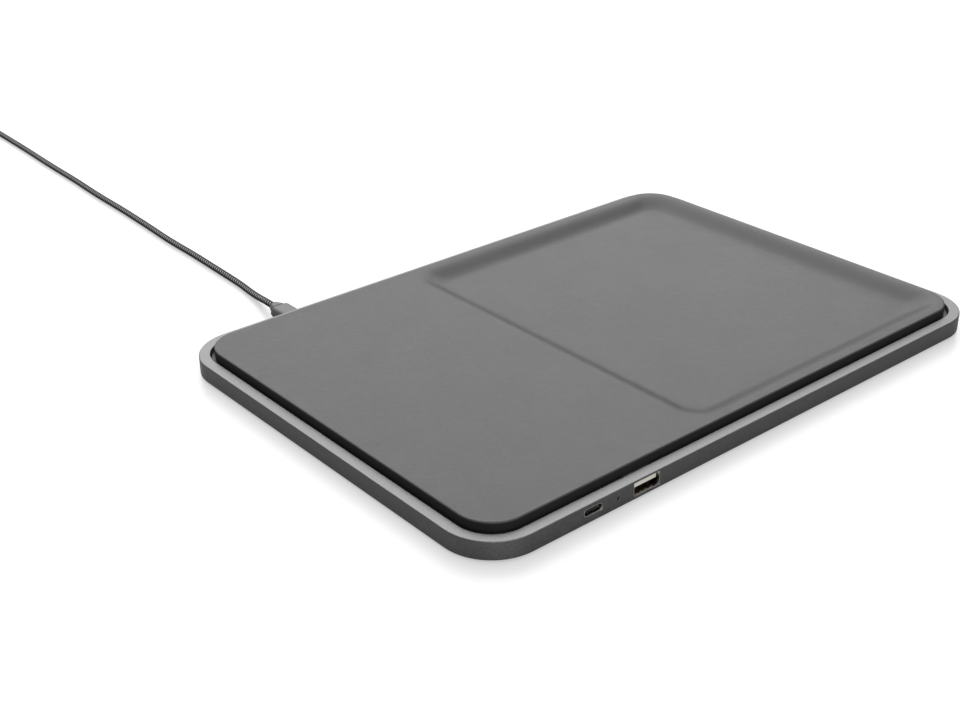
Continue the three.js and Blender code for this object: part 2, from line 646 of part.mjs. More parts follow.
function addCoilSet(pad) {
  const [x, y] = COIL_CENTRE;
  addPart(pad, 'charging_coil', washer(COIL_OUTER, COIL_INNER, COIL_BOTTOM, COIL_TOP), copper, [x, y, 0]);
  addPart(pad, 'coil_tape', washer(COIL_OUTER, COIL_INNER, COIL_TOP + 0.02, TAPE_TOP), tapeWhite, [x, y, 0]);
  const plateTop = COIL_BOTTOM - 0.02;
  const ferrite = bar(FERRITE_RADIUS, plateTop - FERRITE_THICKNESS, plateTop, [0, 0], 36);
  addPart(pad, 'coil_ferrite', ferrite, ferriteGrey, [x, y, 0]);
  const solder = MAIN_BOARD.top + COIL_WIRE_RADIUS + 0.1;
  [-4, 4].forEach((offset, count) => {
    const route = [[offset, -24.6, 8], [offset, -28.5, 7.6], [offset, -33, 6], [offset, -39, solder], [offset, -47, solder]];
    addPart(pad, `coil_lead_${count + 1}`, wire(route, COIL_WIRE_RADIUS, 14, 6), copper, [x, y, 0]);
  });
  const supply = { supply_wire_plus: [0, redWire], supply_wire_minus: [2, blackWire] };
  for (const [name, [shift, material]] of Object.entries(supply)) {
    const low = MAIN_BOARD.top + WIRE_RADIUS + 0.1;
    const high = low + 0.4;
    const route = [[-86 + shift, 77, low], [-89 + shift, 72 - shift, high], [-100, 69 - shift, high]];
    route.push([-110 + shift, 60 - shift, high], [-112 + shift, 30, low], [-112 + shift, -30, low]);
    route.push([-110 + shift, -48, low]);
    addPart(pad, name, wire(route, WIRE_RADIUS, 30, 6), material);
  }
}

function addLead(cable) {
  const { x, z } = SMALL_INLET;
  addPart(cable, 'plug_tip', alongY(plugTipShape(), -1, x, PLUG_FACE - 0.1, z), steel);
  addPart(cable, 'plug_housing', alongY(plugHousingShape(), 1, x, PLUG_FACE, z), plugGrey);
  addPart(cable, 'plug_relief', alongY(plugReliefShape(), 1, x, PLUG_BACK + 0.1, z), plugGrey);
  addPart(cable, 'cable_lead', wire(LEAD_ROUTE, CABLE_RADIUS, 46), braid);
  addPart(cable, 'cable_coil', spareCoilShape(), braid, [...HANK_CENTRE, 0]);
  addPart(cable, 'cable_tie', tieShape(), blackPlastic, [...HANK_CENTRE, 0]);
  addPart(cable, 'cable_tail', wire(TAIL_ROUTE, CABLE_RADIUS, 6), braid);
}

// The charger-end plug lies beside the coil and points back towards the pad.
function addFarPlug(cable) {
  const axis = [TAIL_X, FAR_AXIS_Z];
  const place = (geometry, start) => alongY(geometry, -1, axis[0], start, axis[1]);
  const housingStart = FAR_RELIEF_START - FAR_RELIEF_LENGTH - 0.1;
  const shellStart = housingStart - FAR_HOUSING.length - 0.1;
  addPart(cable, 'far_relief', place(farReliefShape(), FAR_RELIEF_START), plugGrey);
  addPart(cable, 'far_housing', place(farHousingShape(), housingStart), plugGrey);
  addPart(cable, 'far_shell', place(farShellShape(), shellStart), steel);
  const low = FAR_AXIS_Z - FAR_SHELL.height / 2 + SHELL_WALL + 0.05;
  const insulator = block(-5.6, 5.6, shellStart - 11.6, shellStart - 0.6, low, low + 1.9);
  addPart(cable, 'far_insulator', insulator, palePlastic, [TAIL_X, 0, 0]);
}

const pad = new THREE.Group();
const cable = new THREE.Group();
addCase(pad);
addSockets(pad);
addElectronics(pad);
addCoilSet(pad);
addLead(cable);
addFarPlug(cable);

const assembly = new THREE.Group();
assembly.add(pad, cable);

export default assembly;
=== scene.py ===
"""The looks of a desk-top wireless charging pad and its supply lead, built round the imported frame.

The pad's middle stands over the origin. +X runs to the right along the front edge, where the outlets
are, +Y runs to the back, where the lead plugs in, and +Z is up. Everything is in metres.
"""
import math

import bmesh
import bpy
from mathutils import Matrix, Vector
from mathutils.geometry import interpolate_bezier


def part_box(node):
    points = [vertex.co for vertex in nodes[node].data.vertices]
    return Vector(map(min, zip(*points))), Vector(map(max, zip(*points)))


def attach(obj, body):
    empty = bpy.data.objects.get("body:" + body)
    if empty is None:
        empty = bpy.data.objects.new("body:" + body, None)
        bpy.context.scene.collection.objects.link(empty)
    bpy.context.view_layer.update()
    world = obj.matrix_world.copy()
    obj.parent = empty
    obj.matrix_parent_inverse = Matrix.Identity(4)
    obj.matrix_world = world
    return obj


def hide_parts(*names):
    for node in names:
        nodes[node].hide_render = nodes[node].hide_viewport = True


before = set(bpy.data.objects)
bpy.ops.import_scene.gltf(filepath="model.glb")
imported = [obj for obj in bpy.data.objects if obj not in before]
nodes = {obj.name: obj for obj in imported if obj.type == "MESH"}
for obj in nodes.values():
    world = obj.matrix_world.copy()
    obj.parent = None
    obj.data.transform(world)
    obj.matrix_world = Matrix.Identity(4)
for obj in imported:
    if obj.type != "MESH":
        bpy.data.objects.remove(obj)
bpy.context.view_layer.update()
slot_of = {name: node.data.materials[0].name.split(".")[0] for name, node in nodes.items()}
for plain_material in list(bpy.data.materials):
    bpy.data.materials.remove(plain_material)

MM = 0.001

# ---- Driving dimensions -----------------------------------------------------------------------

# The pad's frame: an outline with rounded corners, and rings set in from it
PAD_LOW, PAD_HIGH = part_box("outer_frame")
PAD_LENGTH = PAD_HIGH.x - PAD_LOW.x
PAD_WIDTH = PAD_HIGH.y - PAD_LOW.y
PAD_CORNER = 21 * MM
BAND_WIDTH = 5 * MM
BAND_CORNER = 15 * MM
LEDGE_REACH = 8.9 * MM
LEDGE_TOP = 4.6 * MM
LEDGE_UNDERSIDE = 3.4 * MM
CORNER_STEPS = 14

# The leather deck and the tray sunk into it
DECK_LOW, DECK_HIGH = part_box("leather_top")
DECK_INSET = DECK_LOW.x - PAD_LOW.x
DECK_CORNER = 15 * MM
DECK_ROUNDING = 0.7 * MM
LEATHER_THICKNESS = 1 * MM
LEATHER_HEM = 8 * MM
TRAY_LEFT = -28.5 * MM
TRAY_RIGHT = 132 * MM
TRAY_FRONT = -88.5 * MM
TRAY_BACK = 89 * MM
TRAY_DEPTH = 4.4 * MM
TRAY_WALL = 12 * MM
TRAY_CORNER = 12 * MM
TRAY_STEPS = 18

# The sockets and the light's hole: the middle of each on the pad's side
LARGE_OUTLET = (-65.2 * MM, 4.9 * MM)
SMALL_OUTLET = (-91.4 * MM, 5.3 * MM)
SMALL_INLET = (-84.4 * MM, 4.8 * MM)
LIGHT_HOLE = (-79.4 * MM, 4.8 * MM)
LARGE_MOUTH = (13.4 * MM, 5.9 * MM, 0.7 * MM)
SHELL_WALL = 0.3 * MM

# The corner of a full round end, as a share of the height, a hair under a half so that it bevels well
FULL_ROUND = 0.499
SMALL_MOUTH = (9.2 * MM, 3.4 * MM, 3.4 * MM * FULL_ROUND)
LIGHT_MOUTH = (1.3 * MM, 1.3 * MM, 0.649 * MM)
MOUTH_CHAMFER = 0.18 * MM
LIGHT_CHAMFER = 0.08 * MM

# The supply lead: its free stretch, its wound spare length and the short tail to the far plug
CABLE_DIAMETER = 3 * MM
CABLE_REST = 1.55
LEAD_ROUTE = [
    (-84.4, 112.4, 4.8),
    (-84.1, 118, 4.6),
    (-83.2, 123, 3.8),
    (-81.9, 131, 2.5),
    (-80.7, 140, 1.75),
    (-79.6, 150, CABLE_REST),
    (-78.9, 171, CABLE_REST),
    (-78.3, 195, CABLE_REST),
    (-78.2, 219, CABLE_REST),
    (-77.1, 246, CABLE_REST),
    (-76.3, 273, CABLE_REST),
    (-76.0, 301, CABLE_REST),
    (-74.9, 333, CABLE_REST),
    (-74.4, 364, CABLE_REST),
    (-73.3, 399, CABLE_REST),
    (-72.8, 425, CABLE_REST),
    (-72.7, 440, 1.7),
    (-72.7, 448.6, 2.0),
]
COIL_CENTRE = (-95.2, 462)
COIL_OUTER = 22.5
COIL_PITCH = 3.05
COIL_FLOOR = 2.05
TURNS_IN = 3.5
TURNS_OUT = 4
POINTS_PER_TURN = 20
RISE_TURNS = 0.35
TAIL_ROUTE = [
    (-119.25, 452, 4.9),
    (-119.25, 445, 4.6),
    (-119.25, 438, 4.0),
    (-119.25, 431, 3.85),
]
CABLE_LENGTH = 1.2

# The small plug's metal tip
BLADE_LENGTH = 6.5 * MM
BLADE_WIDTH = 8.25 * MM
BLADE_HEIGHT = 2.4 * MM
BLADE_WALL = 0.6 * MM

# The camera and the light
CAMERA_PLACE = (-0.3804, -0.3869, 0.2763)
CAMERA_TARGET = (-0.0429, 0.0201, 0)
CAMERA_ROLL = math.radians(-0.79)
CAMERA_LENS = 53.4
CAMERA_SENSOR = 36
STUDIO_LIGHT = 0.3
FLOOR_GLOW = 0.44


# ---- Camera, light and floor ------------------------------------------------------------------

def link(thing):
    bpy.context.scene.collection.objects.link(thing)
    return thing


def aim(thing, place, target, roll=0.0):
    """Stands a camera or a lamp at a place and turns it towards a target."""
    direction = Vector(target) - Vector(place)
    turn = direction.to_track_quat("-Z", "Y").to_matrix() @ Matrix.Rotation(roll, 3, "Z")
    thing.matrix_world = Matrix.Translation(Vector(place)) @ turn.to_4x4()


def make_camera():
    lens = bpy.data.cameras.new("camera")
    lens.lens = CAMERA_LENS
    lens.sensor_width = CAMERA_SENSOR
    lens.clip_start = 0.01
    camera = link(bpy.data.objects.new("camera", lens))
    aim(camera, CAMERA_PLACE, CAMERA_TARGET, CAMERA_ROLL)
    bpy.context.scene.camera = camera


def softbox(name, place, target, width, height, brightness):
    """A flat lamp of a given brightness, whatever its size: a flat lamp needs 4 W for each square
    metre and unit of brightness."""
    lamp = bpy.data.lights.new(name, "AREA")
    lamp.shape = "RECTANGLE"
    lamp.size = width
    lamp.size_y = height
    lamp.energy = brightness * 4 * width * height
    aim(link(bpy.data.objects.new(name, lamp)), place, target)


def make_light():
    """A big low lamp behind the pad, which the leather and the band mirror to the camera, a wide one
    overhead, a smaller one in front, and a dim studio that looks white to the camera alone."""
    world = bpy.data.worlds.new("studio")
    world.use_nodes = True
    tree = world.node_tree
    seen = tree.nodes.new("ShaderNodeLightPath")
    strength = tree.nodes.new("ShaderNodeMapRange")
    strength.inputs["To Min"].default_value = STUDIO_LIGHT
    tree.links.new(seen.outputs["Is Camera Ray"], strength.inputs["Value"])
    background = tree.nodes["Background"]
    background.inputs["Color"].default_value = (1, 1, 1, 1)
    tree.links.new(strength.outputs["Result"], background.inputs["Strength"])
    bpy.context.scene.world = world
    softbox("back_softbox", (0.8, 1.35, 1.1), (0, 0, 0), 2.6, 1.5, 1.9)
    softbox("overhead_softbox", (0.15, 0.3, 1.4), (0.05, 0.05, 0), 2.2, 1.8, 1.4)
    softbox("front_softbox", (-0.6, -1.5, 0.9), (0, 0, 0), 1.8, 1.1, 2.0)
    bpy.context.scene.view_settings.view_transform = "Standard"


# ---- Node trees -------------------------------------------------------------------------------

class Value:
    """A number that varies over a surface. Sums and products of it add Math nodes."""

    def __init__(self, finish, socket):
        self.finish = finish
        self.socket = socket

    def math(self, operation, *values):
        inputs = dict(enumerate(values))
        return self.finish.node("ShaderNodeMath", {"operation": operation}, inputs)

    def __add__(self, other):
        return self.math("ADD", self, other)

    def __radd__(self, other):
        return self.math("ADD", other, self)

    def __sub__(self, other):
        return self.math("SUBTRACT", self, other)

    def __rsub__(self, other):
        return self.math("SUBTRACT", other, self)

    def __mul__(self, other):
        return self.math("MULTIPLY", self, other)

    def __rmul__(self, other):
        return self.math("MULTIPLY", other, self)

    def __pow__(self, other):
        return self.math("POWER", self, other)

    def __abs__(self):
        return self.math("ABSOLUTE", self)

    def sine(self):
        return self.math("SINE", self)

    def above(self, edge):
        return self.math("GREATER_THAN", self, edge)

    def step(self, low, high):
        """0 under low, 1 over high and smooth between them."""
        settings = {"interpolation_type": "SMOOTHSTEP"}
        return self.finish.node("ShaderNodeMapRange", settings, {"Value": self, 1: low, 2: high})


class Finish:
    """A material under construction, on the piece's own Object coordinates or UV map."""

    def __init__(self, name):
        self.material = bpy.data.materials.new(name)
        self.material.use_nodes = True
        self.tree = self.material.node_tree
        self.shader = self.tree.nodes["Principled BSDF"]

    def node(self, kind, settings, inputs, output=0):
        """Adds a node: its settings first, then the values or links of its sockets."""
        made = self.tree.nodes.new(kind)
        for name, value in settings.items():
            setattr(made, name, value)
        for name, value in inputs.items():
            self.put(made.inputs[name], value)
        return Value(self, made.outputs[output])

    def put(self, socket, value):
        if isinstance(value, Value):
            self.tree.links.new(value.socket, socket)
        elif isinstance(value, tuple) and len(value) == 3 and socket.type == "RGBA":
            socket.default_value = (*value, 1)
        else:
            socket.default_value = value

    def place(self, output="Object"):
        return self.node("ShaderNodeTexCoord", {}, {}, output)

    def mapped(self, centre=(0, 0, 0), turn=(0, 0, 0), scale=(1, 1, 1)):
        """Object coordinates with a new centre, turn and scale."""
        inputs = {"Vector": self.place(), "Location": centre, "Rotation": turn, "Scale": scale}
        return self.node("ShaderNodeMapping", {"vector_type": "TEXTURE"}, inputs)

    def axes(self, vector):
        return [self.node("ShaderNodeSeparateXYZ", {}, {"Vector": vector}, axis) for axis in "XYZ"]

    def noise(self, size, detail=2.0, vector=None, roughness=0.5):
        """Soft noise whose blobs are about as wide as size."""
        inputs = {"Scale": 1 / size, "Detail": detail, "Roughness": roughness}
        inputs["Vector"] = vector or self.place()
        return self.node("ShaderNodeTexNoise", {}, inputs, "Fac")

    def cells(self, size, feature="F1"):
        """The distance pattern of cells about as wide as size."""
        inputs = {"Scale": 1 / size, "Vector": self.place()}
        return self.node("ShaderNodeTexVoronoi", {"feature": feature}, inputs, "Distance")

    def blend(self, factor, low, high):
        """A colour between two colours."""
        inputs = {0: factor, 6: low, 7: high}
        return self.node("ShaderNodeMix", {"data_type": "RGBA"}, inputs, 2)

    def bump(self, height, depth, normal=None):
        """A normal from a height of 0 to 1 and how deep that is."""
        inputs = {"Height": height, "Distance": depth, "Strength": 1.0}
        if normal:
            inputs["Normal"] = normal
        return self.node("ShaderNodeBump", {}, inputs)

    def finish(self, **sockets):
        """Sets the shader's sockets by their names, with _ for a space, and returns the material."""
        for name, value in sockets.items():
            self.put(self.shader.inputs[name.replace("_", " ")], value)
        return self.material


def grey(level):
    return (level, level, level)


# ---- Finishes ---------------------------------------------------------------------------------

def grained(name, low, high, size, depth, roughness, metallic):
    """A fine even grain: two near colours, a little change of gloss and a shallow bump."""
    paint = Finish(name)
    grain = paint.noise(size, 3)
    broad = paint.noise(size * 40, 2)
    colour = paint.blend(grain * 0.6 + broad * 0.4, low, high)
    gloss = roughness - 0.06 + broad * 0.12
    normal = paint.bump(grain, depth)
    return paint.finish(Base_Color=colour, Roughness=gloss, Metallic=metallic, Normal=normal)


def frame_metal():
    """Bead-blasted grey anodised metal."""
    paint = Finish("anodised_frame")
    blast = paint.noise(0.25 * MM, 2)
    specks = paint.noise(0.8 * MM, 3).step(0.36, 0.64)
    cloud = paint.noise(18 * MM, 3)
    colour = paint.blend(specks * 0.5 + blast * 0.25 + cloud * 0.25, grey(0.14), grey(0.2))
    gloss = 0.36 + cloud * 0.08 + specks * 0.08
    normal = paint.bump(blast * 0.6 + specks * 0.4, 0.008 * MM)
    return paint.finish(Base_Color=colour, Roughness=gloss, Metallic=1.0, Normal=normal)


def pad_leather():
    """Smooth coated leather: fine pebbles with hair-thin creases between them, under a grain that is
    drawn out one way. Its upright faces are near black: partly edge paint, partly painted shade of the
    pad's side."""
    paint = Finish("pad_leather")
    wander = paint.noise(2.5 * MM, 2)
    pebbles = paint.cells(0.75 * MM, "SMOOTH_F1")
    creases = paint.cells(1.1 * MM, "DISTANCE_TO_EDGE").step(0.0, 0.12)
    cloud = paint.noise(55 * MM, 3)
    fine = paint.noise(0.25 * MM, 2)
    height = creases * 0.55 + (1 - pebbles) * 0.3 + fine * 0.15
    patches = paint.noise(14 * MM, 4, roughness=0.65).step(0.3, 0.7)
    shade = cloud * 0.4 + patches * 0.3 + creases * 0.3
    _, _, up = paint.axes(paint.place("Normal"))
    # Upright faces go near black: partly edge paint, partly painted shade of the pad's side.
    edge = 1 - up.step(0.15, 0.6)
    dyed = paint.blend(shade, grey(0.02), grey(0.032))
    colour = paint.blend(edge, dyed, grey(0.004))
    stretch = paint.noise(1.3 * MM, 3, paint.mapped(turn=(0, 0, -0.69), scale=(4, 1, 1)))
    gloss = 0.45 + wander * 0.06 + patches * 0.04 + stretch * 0.04 - creases * 0.05 + edge * 0.3
    soft = paint.bump(paint.noise(9 * MM, 2), 0.05 * MM)
    drawn = paint.bump(stretch, 0.06 * MM, soft)
    normal = paint.bump(height, 0.03 * MM, drawn)
    return paint.finish(Base_Color=colour, Roughness=gloss, Normal=normal)


def socket_steel():
    """Drawn nickel-plated sheet, with faint lines along the drawing direction. Inside the outlets at
    the front it is rougher, and its colour is darkened as painted shade of the outlets' depths."""
    paint = Finish("socket_steel")
    lines = paint.noise(0.06 * MM, 2, paint.mapped(scale=(1, 12, 1)))
    stain = paint.noise(1.5 * MM, 2)
    _, y, _ = paint.axes(paint.place())
    mouth = PAD_LOW.y
    # Painted shade: a little way in from the front outlets' mouths the steel is coloured dark
    # brown-grey.
    painted_recess_shade = y.step(mouth + 0.6 * MM, mouth + 1.6 * MM) * (1 - y.above(0))
    plated = paint.blend(stain, (0.56, 0.54, 0.51), (0.7, 0.69, 0.67))
    colour = paint.blend(painted_recess_shade, plated, (0.09, 0.075, 0.065))
    gloss = 0.13 + lines * 0.1 + painted_recess_shade * 0.1
    normal = paint.bump(lines, 0.004 * MM)
    return paint.finish(Base_Color=colour, Roughness=gloss, Metallic=1.0, Normal=normal)


def clear_plastic():
    paint = Finish("clear_plastic")
    haze = paint.noise(0.3 * MM, 2)
    # Coloured near black: painted shade of the light's small, deep hole.
    colour = paint.blend(haze, grey(0.006), grey(0.014))
    return paint.finish(Base_Color=colour, Roughness=0.5 + haze * 0.15, Specular_IOR_Level=0.2)


def board_green():
    """Solder mask over copper tracks, in patches of lanes and of rows, with bright pads strewn over."""
    paint = Finish("board_green")
    x, y, _ = paint.axes(paint.place())
    lanes = abs((x * (math.pi / (0.9 * MM))).sine()).step(0.75, 0.85)
    rows = abs((y * (math.pi / (1.3 * MM))).sine()).step(0.8, 0.9)
    region = paint.cells(6 * MM).above(0.5)
    tracks = lanes * region + rows * (1 - region)
    pads = 1 - paint.cells(3.2 * MM).step(0.1, 0.14)
    mask = paint.blend(tracks, (0.008, 0.045, 0.026), (0.02, 0.1, 0.055))
    colour = paint.blend(pads, mask, (0.62, 0.6, 0.55))
    normal = paint.bump(tracks, 0.03 * MM)
    return paint.finish(Base_Color=colour, Roughness=0.38 - pads * 0.1, Metallic=pads, Normal=normal)


def coil_copper():
    """Enamelled wire wound flat, drawn as rings about the coil's own middle."""
    paint = Finish("coil_copper")
    low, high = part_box("charging_coil")
    middle = (low + high) / 2
    x, y, _ = paint.axes(paint.mapped(centre=tuple(middle)))
    radius = (x * x + y * y) ** 0.5
    turns = abs((radius * (math.pi / (1.1 * MM))).sine())
    colour = paint.blend(turns, (0.16, 0.05, 0.02), (0.62, 0.27, 0.12))
    normal = paint.bump(turns, 0.3 * MM)
    return paint.finish(Base_Color=colour, Roughness=0.42 - turns * 0.1, Metallic=0.9, Normal=normal)


def woven(name, low, high, pitch, depth, roughness):
    """A plain weave of straps and tapes."""
    paint = Finish(name)
    x, y, z = paint.axes(paint.place())
    turn = math.pi / pitch
    warp = ((x + z) * turn).sine()
    weft = ((y + z) * turn).sine()
    height = abs(warp * weft)
    colour = paint.blend(height * 0.7 + paint.noise(pitch * 0.4, 2) * 0.3, low, high)
    normal = paint.bump(height, depth)
    return paint.finish(Base_Color=colour, Roughness=roughness + height * 0.1, Normal=normal)


# The braid: its ribs' pitch and starts, and how many rows of painted highlight there are and where
BRAID_PITCH = 1.8 * MM
BRAID_STARTS = 2
BRAID_HIGHLIGHT_ROWS = 3
HIGHLIGHT_ROW_PLACE = 0.36


def cable_braid():
    """Black braided yarn round the cable, by the piece's UV map: ribs that wind round it, with rows
    of pale dashes on them that are painted highlights of the glossy ribs."""
    paint = Finish("cable_braid")
    along, around, _ = paint.axes(paint.place("UV"))
    turn = 2 * math.pi
    ribs = (along * (turn * CABLE_LENGTH / BRAID_PITCH) + around * (turn * BRAID_STARTS)).sine()
    rows = ((around - HIGHLIGHT_ROW_PLACE) * (turn * BRAID_HIGHLIGHT_ROWS) + math.pi / 2).sine()
    hairs = paint.noise(0.12 * MM, 3)
    # Painted highlight: pale dashes where the ribs cross the rows.
    pale = ribs.step(0.2, 0.8) * rows.step(-0.3, 0.7)
    colour = paint.blend(pale * 0.9 + hairs * 0.1, grey(0.004), grey(0.42))
    normal = paint.bump(ribs * 0.4 + hairs * 0.6, 0.15 * MM)
    roughness = 0.72 + hairs * 0.15
    return paint.finish(
        Base_Color=colour, Roughness=roughness, Normal=normal, Specular_IOR_Level=0.2
    )


def make_finishes():
    """Every material slot's finish, by the slot's name."""
    made = {
        "anodised_frame": frame_metal(),
        "pad_leather": pad_leather(),
        "socket_steel": socket_steel(),
        "clear_plastic": clear_plastic(),
        "board_green": board_green(),
        "coil_copper": coil_copper(),
        "cable_braid": cable_braid(),
        "tie_strap": woven("tie_strap", grey(0.01), grey(0.05), 0.5 * MM, 0.12 * MM, 0.85),
        "white_tape": woven("white_tape", grey(0.62), grey(0.78), 0.35 * MM, 0.03 * MM, 0.6),
    }
    # Each is two near colours, the grain's size and depth in millimetres, roughness and metalness
    plain = {
        "black_plastic": (grey(0.008), grey(0.014), 0.25, 0.015, 0.5, 0.0),
        "foot_rubber": (grey(0.012), grey(0.024), 0.4, 0.03, 0.82, 0.0),
        "dark_screw": (grey(0.06), grey(0.1), 0.3, 0.01, 0.38, 1.0),
        "pale_plastic": ((0.74, 0.71, 0.63), (0.82, 0.8, 0.73), 0.3, 0.006, 0.38, 0.0),
        "contact_gold": ((0.7, 0.46, 0.16), (0.86, 0.6, 0.25), 0.2, 0.004, 0.26, 1.0),
        "chip_black": (grey(0.014), grey(0.028), 0.15, 0.01, 0.48, 0.0),
        "ferrite_grey": (grey(0.035), grey(0.06), 0.5, 0.02, 0.58, 0.0),
        "capacitor_tan": ((0.3, 0.19, 0.1), (0.42, 0.28, 0.16), 0.3, 0.008, 0.42, 0.0),
        "wire_red": ((0.3, 0.012, 0.01), (0.42, 0.02, 0.016), 0.4, 0.01, 0.4, 0.0),
        "wire_black": (grey(0.008), grey(0.016), 0.4, 0.01, 0.42, 0.0),
        "plug_grey": (grey(0.06), grey(0.09), 0.22, 0.012, 0.4, 0.0),
    }
    for name, (low, high, size, depth, roughness, metallic) in plain.items():
        made[name] = grained(name, low, high, size * MM, depth * MM, roughness, metallic)
    return made


# ---- Mesh helpers -----------------------------------------------------------------------------

MERGE_REACH = 1e-7
SHARP_ANGLE = 40

def outline(bm, width, depth, corner, height, centre, steps):
    """A level loop of edges round a rectangle with rounded corners."""
    old = set(bm.faces)
    verts = bmesh.ops.create_grid(bm, x_segments=1, y_segments=1, size=0.5)["verts"]
    bmesh.ops.scale(bm, vec=(width, depth, 1), verts=verts)
    bmesh.ops.translate(bm, vec=(*centre, height), verts=verts)
    bmesh.ops.bevel(
        bm, geom=verts, offset=corner, segments=steps, profile=0.5, affect="VERTICES", material=-1
    )
    face = next(face for face in bm.faces if face not in old)
    edges = list(face.edges)
    bmesh.ops.delete(bm, geom=[face], context="FACES_ONLY")
    return edges


def loft(bm, sections, steps=CORNER_STEPS, closed=False, caps=()):
    """Skins level outlines: each is its height, width, depth and corner, and its middle if that is
    moved. They are joined while they stand well apart, since two at one height join badly, and then
    come to their own heights. caps are the places in the list of the outlines that get an end face."""
    apart = 50 * MM
    rings = []
    for place, (_, width, depth, corner, *centre) in enumerate(sections):
        middle = centre[0] if centre else (0, 0)
        rings.append(outline(bm, width, depth, corner, place * apart, middle, steps))
    for first, second in zip(rings, rings[1:]):
        bmesh.ops.bridge_loops(bm, edges=first + second)
    if closed:
        bmesh.ops.bridge_loops(bm, edges=rings[-1] + rings[0])
    for place in caps:
        bmesh.ops.edgeloop_fill(bm, edges=rings[place])
    for ring, section in zip(rings, sections):
        for vert in {vert for edge in ring for vert in edge.verts}:
            vert.co.z = section[0]


def rounded_profile(corners, closed, steps=4, margin=0.12 * MM):
    """Rounds the corners of a profile. A corner is its two coordinates and its radius. Points close
    beside each arc keep the flats next to it flat in shading."""
    points = []
    count = len(corners)
    for place, (a, b, radius) in enumerate(corners):
        corner = Vector((a, b, 0))
        if not closed and place in (0, count - 1):
            points.append(corner)
            continue
        before = (Vector((*corners[place - 1][:2], 0)) - corner).normalized()
        after = (Vector((*corners[(place + 1) % count][:2], 0)) - corner).normalized()
        reach = radius / math.tan(before.angle(after) / 2)
        start = corner + before * reach
        end = corner + after * reach
        pull = 0.552  # how far a curve's handles reach to its corner, to come close to an arc
        arc = interpolate_bezier(
            start, start.lerp(corner, pull), end.lerp(corner, pull), end, steps + 1
        )
        points += [start + before * margin, *(Vector((*p[:2], 0)) for p in arc), end + after * margin]
    return [(point.x, point.y) for point in points]


def new_piece(name, bm, body, slot, sharp=SHARP_ANGLE):
    """Turns a bmesh into a shaded piece that rides on a body."""
    bmesh.ops.remove_doubles(bm, verts=bm.verts, dist=MERGE_REACH)
    bmesh.ops.recalc_face_normals(bm, faces=bm.faces)
    mesh = bpy.data.meshes.new(name)
    bm.to_mesh(mesh)
    bm.free()
    mesh.shade_smooth()
    mesh.set_sharp_from_angle(angle=math.radians(sharp))
    mesh.materials.append(finishes[slot])
    piece = link(bpy.data.objects.new(name, mesh))
    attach(piece, body)
    return piece


def settle(piece):
    """Bakes a piece's modifiers into its mesh."""
    graph = bpy.context.evaluated_depsgraph_get()
    mesh = bpy.data.meshes.new_from_object(piece.evaluated_get(graph))
    mesh.name = piece.name
    piece.modifiers.clear()
    piece.data = mesh
    mesh.shade_smooth()
    mesh.set_sharp_from_angle(angle=math.radians(SHARP_ANGLE))


def carve(piece, cutters):
    """Cuts the cutters' shapes out of a piece."""
    made = []
    for cutter in cutters:
        mesh = bpy.data.meshes.new("cutter")
        bmesh.ops.recalc_face_normals(cutter, faces=cutter.faces)
        cutter.to_mesh(mesh)
        cutter.free()
        tool = link(bpy.data.objects.new("cutter", mesh))
        made.append(tool)
        change = piece.modifiers.new("cut", "BOOLEAN")
        change.operation = "DIFFERENCE"
        change.solver = "EXACT"
        change.object = tool
    settle(piece)
    for tool in made:
        mesh = tool.data
        bpy.data.objects.remove(tool)
        bpy.data.meshes.remove(mesh)


def thicken(piece, thickness):
    """Gives an open skin a wall on its inner side."""
    wall = piece.modifiers.new("wall", "SOLIDIFY")
    wall.thickness = thickness
    wall.offset = -1.0
    wall.use_even_offset = True
    settle(piece)


# Turns of a shape built along +Z: towards the pad's back, towards its front, and to the right. The
# first two mirror it too, which doesn't change shapes that are the same on both sides.
TO_BACK = Matrix(((1, 0, 0), (0, 0, 1), (0, 1, 0))).to_4x4()
TO_FRONT = Matrix(((-1, 0, 0), (0, 0, -1), (0, 1, 0))).to_4x4()
TO_RIGHT = Matrix(((0, 0, 1), (1, 0, 0), (0, 1, 0))).to_4x4()


def stand(bm, turn, x, y, z):
    bmesh.ops.transform(bm, matrix=Matrix.Translation((x, y, z)) @ turn, verts=bm.verts)


def stadium(place, width, height, shrink=0.0):
    """A section with full round ends."""
    low = height - 2 * shrink
    return place, width - 2 * shrink, low, low * FULL_ROUND


def rounded_block(bm, low, high, radius, segments=3):
    """A box with rounded edges between two corners."""
    size = Vector(high) - Vector(low)
    made = bmesh.ops.create_cube(bm, size=1)["verts"]
    bmesh.ops.scale(bm, vec=size, verts=made)
    bmesh.ops.translate(bm, vec=(Vector(low) + Vector(high)) / 2, verts=made)
    edges = list({edge for vert in made for edge in vert.link_edges})
    bmesh.ops.bevel(
        bm, geom=edges, offset=radius, segments=segments, profile=0.5, affect="EDGES", material=-1
    )


def block_for(node, name, radius):
    """A piece with rounded edges that fills a CAD node's box and stands for it."""
    bm = bmesh.new()
    rounded_block(bm, *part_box(node), radius)
    piece = new_piece(name, bm, "pad", slot_of[node])
    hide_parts(node)
    return piece


def turned(bm, profile, x, y):
    """A solid of revolution about an upright axis from points of radius and height."""
    verts = [bm.verts.new((radius, 0, height)) for radius, height in profile]
    edges = [bm.edges.new(pair) for pair in zip(verts, verts[1:])]
    bmesh.ops.spin(
        bm, geom=verts + edges, cent=(0, 0, 0), axis=(0, 0, 1), angle=2 * math.pi, steps=48,
        use_merge=True,
    )
    bmesh.ops.remove_doubles(bm, verts=bm.verts, dist=MERGE_REACH)
    bmesh.ops.translate(bm, vec=(x, y, 0), verts=bm.verts)


# ---- The lead's route -------------------------------------------------------------------------

